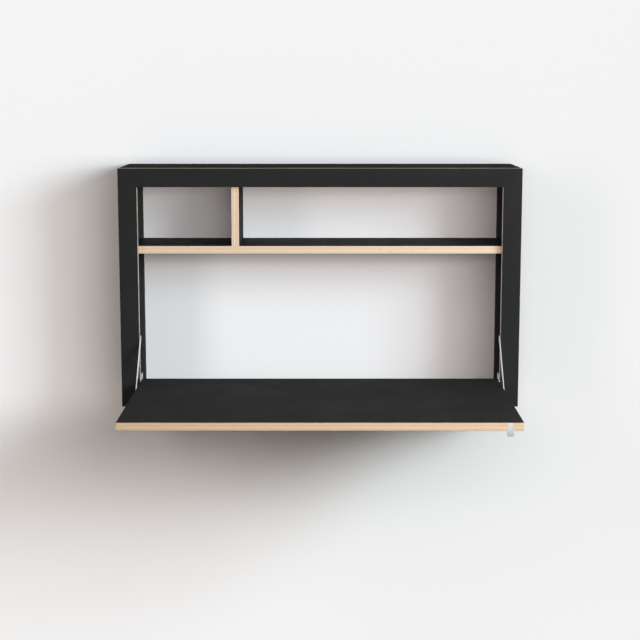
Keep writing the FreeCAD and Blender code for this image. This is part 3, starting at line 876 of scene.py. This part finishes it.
class DESK_OT_dowels(Operator):
    """Finish the dowels inside the joints"""

    bl_idname = "desk.dowels"
    bl_label = "Dowels"

    def execute(self, context):
        material = dowel_material()
        for joint in ("frame", "case", "shelf", "divider", "hanging", "batten"):
            finish_node(joint + "_dowels", material)
        return {"FINISHED"}


class DESK_OT_tracks(Operator):
    """Finish the tracks in the stiles, with their stops and slides"""

    bl_idname = "desk.tracks"
    bl_label = "Tracks and slides"

    def execute(self, context):
        metals = context.scene.desk_metals
        aluminium = metal_material("satin_track", metals.aluminium, TRACK_ROUGH)
        dress_metal(both("track"), aluminium)
        finish_node("track_stops", aluminium)
        moulded = slide_material()
        for node in both("slide"):
            softened(node, metals.softness, moulded)
        return {"FINISHED"}


class DESK_OT_hinges(Operator):
    """Finish the hinge plates, pins and bushes"""

    bl_idname = "desk.hinges"
    bl_label = "Hinges"

    def execute(self, context):
        metals = context.scene.desk_metals
        dress_metal(both("hinge_plate"), metal_material("dull_steel", metals.hinge, HINGE_ROUGH))
        along_pin = steel_material("along_pin", LAYERS_TO_Z[0])
        brass = metal_material("turned_brass", metals.brass, BRASS_ROUGH, LAYERS_TO_Z[0])
        for pin, bush in zip(both("hinge_pin"), both("hinge_bush")):
            finish_node(pin, along_pin)
            finish_node(bush, brass)
        return {"FINISHED"}


class DESK_OT_stays(Operator):
    """Finish the stay arms with their pivots and slide pins"""

    bl_idname = "desk.stays"
    bl_label = "Stay arms"

    def execute(self, context):
        low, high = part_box("arm_right")
        lean = math.atan2(high[1] - low[1], high[2] - low[2])
        dress_metal(both("arm"), steel_material("along_arm", (lean, 0.0, 0.0)))
        dress_metal(both("arm_pivot") + both("slide_pin"), steel_material())
        return {"FINISHED"}


class DESK_OT_catch(Operator):
    """Finish the pull tab and the magnet that it meets"""

    bl_idname = "desk.catch"
    bl_label = "Pull tab and magnet"

    def execute(self, context):
        metals = context.scene.desk_metals
        satin = metal_material("satin_tab", metals.tab, TAB_ROUGH)
        tab = softened("pull_tab", metals.tab_edge, satin, segments=4)
        curl_lip(tab, FLAP_UNDER_Z, metals.tab_curl)
        dress_metal(["catch_magnet"], metal_material("plated_magnet", metals.nickel, NICKEL_ROUGH))
        return {"FINISHED"}


class DESK_OT_screws(Operator):
    """Set the small screws of the tracks, the hinge plates and the pull tab"""

    bl_idname = "desk.screws"
    bl_label = "Screws"

    def execute(self, context):
        low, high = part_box("tab_screw")
        head_radius = (high[0] - low[0]) / 2
        length = high[1] - low[1]
        screw = screw_mesh(head_radius * SHANK_SHARE, head_radius, length)
        template = bpy.data.objects.new("screw_template", screw)
        context.scene.collection.objects.link(template)
        heading_in = Vector(((low[0] + high[0]) / 2, low[1], (low[2] + high[2]) / 2))
        tab_row = screw_row(template, 1, heading_in, (0.0, 0.0, 0.0), (math.pi / 2, 0.0, 0.0))
        screw_piece("pull_tab_screw", [tab_row], "tab_screw")
        low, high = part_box("track_screws")
        middle_y = (low[1] + high[1]) / 2
        first_z, last_z = low[2] + head_radius, high[2] - head_radius
        step = (0.0, 0.0, (last_z - first_z) / 2)
        rows = []
        for head_x, turn in ((low[0] + length, math.pi / 2), (high[0] - length, -math.pi / 2)):
            rows.append(screw_row(template, 3, (head_x, middle_y, first_z), step, (0.0, turn, 0.0)))
        screw_piece("track_fixing_screws", rows, "track_screws")
        low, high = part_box("hinge_screws")
        first_z, last_z = low[2] + head_radius, high[2] - head_radius
        step = (0.0, 0.0, last_z - first_z)
        rows = []
        for middle_x in (low[0] + head_radius, high[0] - head_radius):
            first = (middle_x, high[1], first_z)
            rows.append(screw_row(template, 2, first, step, (-math.pi / 2, 0.0, 0.0)))
        screw_piece("hinge_bracket_screws", rows, "hinge_screws")
        bpy.data.objects.remove(template)
        return {"FINISHED"}


def seen_ray(desk):
    """1 for the camera's rays and for those that metal or glass sends on, else 0."""
    rays = desk.add("ShaderNodeLightPath").outputs
    sent_on = desk.math("MAXIMUM", rays["Is Glossy Ray"], rays["Is Transmission Ray"])
    return desk.math("MAXIMUM", rays["Is Camera Ray"], sent_on)


def light_on_sheet(desk, place, inward, lamp):
    """How much light an unshaded spot of the stage gets from one lamp, as a colour."""
    total = 0.0
    for half in lamp["halves"]:
        ray = desk.vectors("SUBTRACT", place, half)
        ahead = desk.math("MAXIMUM", desk.dot(ray, lamp["aim"]), 0.0)
        far = desk.math("ADD", desk.dot(ray, ray), lamp["spread"])
        falloff = desk.math("DIVIDE", desk.math("MULTIPLY", ahead, desk.dot(ray, inward)),
                            desk.math("MULTIPLY", far, far))
        lit = desk.math("MULTIPLY", falloff, lamp["power"] / (2 * math.pi ** 2))
        total = desk.math("ADD", lit, total)
    scaled = desk.add("ShaderNodeVectorMath", {0: lamp["colour"], "Scale": total}, operation="SCALE")
    return scaled.outputs[0]


def pale_material(name, inward, soft, lamps):
    """A matt pale surface that looks evenly lit to the camera, keeps shadows, and is clear from behind."""
    looks = bpy.context.scene.desk_stage
    material, desk, shader, place = new_material(name)
    light = tuple(soft)
    for lamp in lamps:
        light = desk.vectors("ADD", light_on_sheet(desk, place, inward, lamp), light)
    evened = desk.vectors("DIVIDE", tuple(looks.wall), light)
    shown = desk.blend(seen_ray(desk), rgba(looks.wall), evened)
    paint = desk.add("ShaderNodeBsdfDiffuse", {"Color": shown})
    behind = desk.add("ShaderNodeNewGeometry").outputs["Backfacing"]
    clear = desk.add("ShaderNodeBsdfTransparent")
    either = desk.add("ShaderNodeMixShader", {0: behind, 1: paint.outputs[0], 2: clear.outputs[0]})
    output = next(n for n in material.node_tree.nodes if n.type == "OUTPUT_MATERIAL")
    desk.feed(output.inputs["Surface"], either.outputs[0])
    material.node_tree.nodes.remove(shader)
    return material


def stage_sheet(name, corners, material):
    """A flat sheet of the stage that throws no light or shade on the desk."""
    mesh = bpy.data.meshes.new(name)
    mesh.from_pydata(corners, [], [tuple(range(len(corners)))])
    sheet = bpy.data.objects.new(name, mesh)
    bpy.context.scene.collection.objects.link(sheet)
    set_material(sheet, material)
    sheet.visible_diffuse = False
    sheet.visible_shadow = False


def light_world(above, below, glow, pale):
    """Soft light from the room and the wall's side, seen as a pale backdrop."""
    world = bpy.data.worlds.new("soft_room")
    bpy.context.scene.world = world
    world.use_nodes = True
    world.node_tree.nodes.clear()
    desk = NodeDesk(world.node_tree)
    direction = desk.add("ShaderNodeTexCoord").outputs["Generated"]
    towards = desk.add("ShaderNodeSeparateXYZ", {0: direction}).outputs
    room = desk.blend(desk.math("GREATER_THAN", towards[2], 0.0), rgba(below), rgba(above))
    soft = desk.blend(desk.math("GREATER_THAN", towards[1], 0.0), room, rgba(glow))
    colour = desk.blend(seen_ray(desk), soft, rgba(pale))
    backdrop = desk.add("ShaderNodeBackground", {"Color": colour, "Strength": 1.0})
    desk.add("ShaderNodeOutputWorld", {"Surface": backdrop.outputs[0]})


def soft_box(name, place, size, power, colour):
    """A wide soft light that looks at the middle of the desk, with what the wall needs to know of it."""
    middle = (Vector(CAD_BOX[0]) + Vector(CAD_BOX[1])) / 2
    aim = (middle - Vector(place)).normalized()
    lamp = bpy.data.lights.new(name, "AREA")
    lamp.shape = "RECTANGLE"
    lamp.size, lamp.size_y = size
    lamp.energy = power
    lamp.color = colour
    stand = bpy.data.objects.new(name, lamp)
    stand.location = place
    turn = aim.to_track_quat("-Z", "Y")
    stand.rotation_euler = turn.to_euler()
    stand.visible_camera = False
    bpy.context.scene.collection.objects.link(stand)
    # Two points stand for the lamp's width, and a spread for its height, as for an even strip.
    aside = turn @ Vector((size[0] / math.sqrt(12), 0.0, 0.0))
    return {"halves": (Vector(place) - aside, Vector(place) + aside), "aim": aim,
            "spread": size[1] ** 2 / 12, "power": power, "colour": tuple(colour)}


class DESK_OT_stage(Operator):
    """Set up the wall, the floor, the light and the camera"""

    bl_idname = "desk.stage"
    bl_label = "Stage"

    def execute(self, context):
        looks = context.scene.desk_stage
        lamps = [soft_box("key", looks.key_place, looks.key_size, looks.key_power, looks.key_colour),
                 soft_box("side", looks.side_place, looks.side_size, looks.side_power, looks.side_colour),
                 soft_box("left", looks.left_place, looks.left_size, looks.left_power, looks.left_colour)]
        light_world(looks.fill_above, looks.fill_below, looks.wall_glow, looks.wall)
        above = Vector(looks.fill_above)
        on_wall = above.lerp(looks.fill_below, 0.5)
        on_floor = above.lerp(looks.wall_glow, 0.5)
        reach = STAGE_REACH
        floor_z = DESK_TOP_Z - looks.floor_drop
        wall_y = CAD_BOX[1][1] + WALL_GAP
        stage_sheet("wall", [(-reach, wall_y, floor_z), (reach, wall_y, floor_z),
                             (reach, wall_y, reach), (-reach, wall_y, reach)],
                    pale_material("pale_wall", (0.0, 1.0, 0.0), on_wall, lamps))
        stage_sheet("floor", [(-reach, -reach, floor_z), (reach, -reach, floor_z),
                              (reach, reach, floor_z), (-reach, reach, floor_z)],
                    pale_material("pale_floor", (0.0, 0.0, -1.0), on_floor, lamps))
        lens = bpy.data.cameras.new("camera")
        lens.lens = looks.lens
        camera = bpy.data.objects.new("camera", lens)
        camera.location = (0.0, -looks.camera_back, looks.camera_height)
        camera.rotation_euler = (math.pi / 2 - looks.camera_tilt, 0.0, 0.0)
        context.scene.collection.objects.link(camera)
        context.scene.camera = camera
        context.scene.view_settings.view_transform = "Standard"
        return {"FINISHED"}


OPERATORS = (
    DESK_OT_front_frame, DESK_OT_case, DESK_OT_shelves, DESK_OT_wall_strips, DESK_OT_flap, DESK_OT_dowels,
    DESK_OT_tracks, DESK_OT_hinges, DESK_OT_stays, DESK_OT_catch, DESK_OT_screws, DESK_OT_stage,
)


class DESK_PT_sidebar(Panel):
    """The desk's pieces and finishes"""

    bl_idname = "DESK_PT_sidebar"
    bl_label = "Fold down wall desk"
    bl_space_type = "VIEW_3D"
    bl_region_type = "UI"
    bl_category = "Desk"

    def draw(self, context):
        for operator in OPERATORS:
            self.layout.operator(operator.bl_idname)
        for looks in (context.scene.desk_boards, context.scene.desk_metals, context.scene.desk_stage):
            box = self.layout.box()
            for name in looks.__annotations__:
                box.prop(looks, name)


CLASSES = (BoardLooks, MetalLooks, StageLooks) + OPERATORS + (DESK_PT_sidebar,)


def register():
    """Adds the classes and the scene's settings."""
    for cls in CLASSES:
        bpy.utils.register_class(cls)
    bpy.types.Scene.desk_boards = PointerProperty(type=BoardLooks)
    bpy.types.Scene.desk_metals = PointerProperty(type=MetalLooks)
    bpy.types.Scene.desk_stage = PointerProperty(type=StageLooks)


def unregister():
    """Takes the settings and the classes away again."""
    del bpy.types.Scene.desk_stage
    del bpy.types.Scene.desk_metals
    del bpy.types.Scene.desk_boards
    for cls in reversed(CLASSES):
        bpy.utils.unregister_class(cls)


def main():
    """Dresses every piece and sets the stage."""
    register()
    bpy.ops.desk.front_frame()
    bpy.ops.desk.case()
    bpy.ops.desk.shelves()
    bpy.ops.desk.wall_strips()
    bpy.ops.desk.flap()
    bpy.ops.desk.dowels()
    bpy.ops.desk.tracks()
    bpy.ops.desk.hinges()
    bpy.ops.desk.stays()
    bpy.ops.desk.catch()
    bpy.ops.desk.screws()
    bpy.ops.desk.stage()


if __name__ == "__main__":
    main()
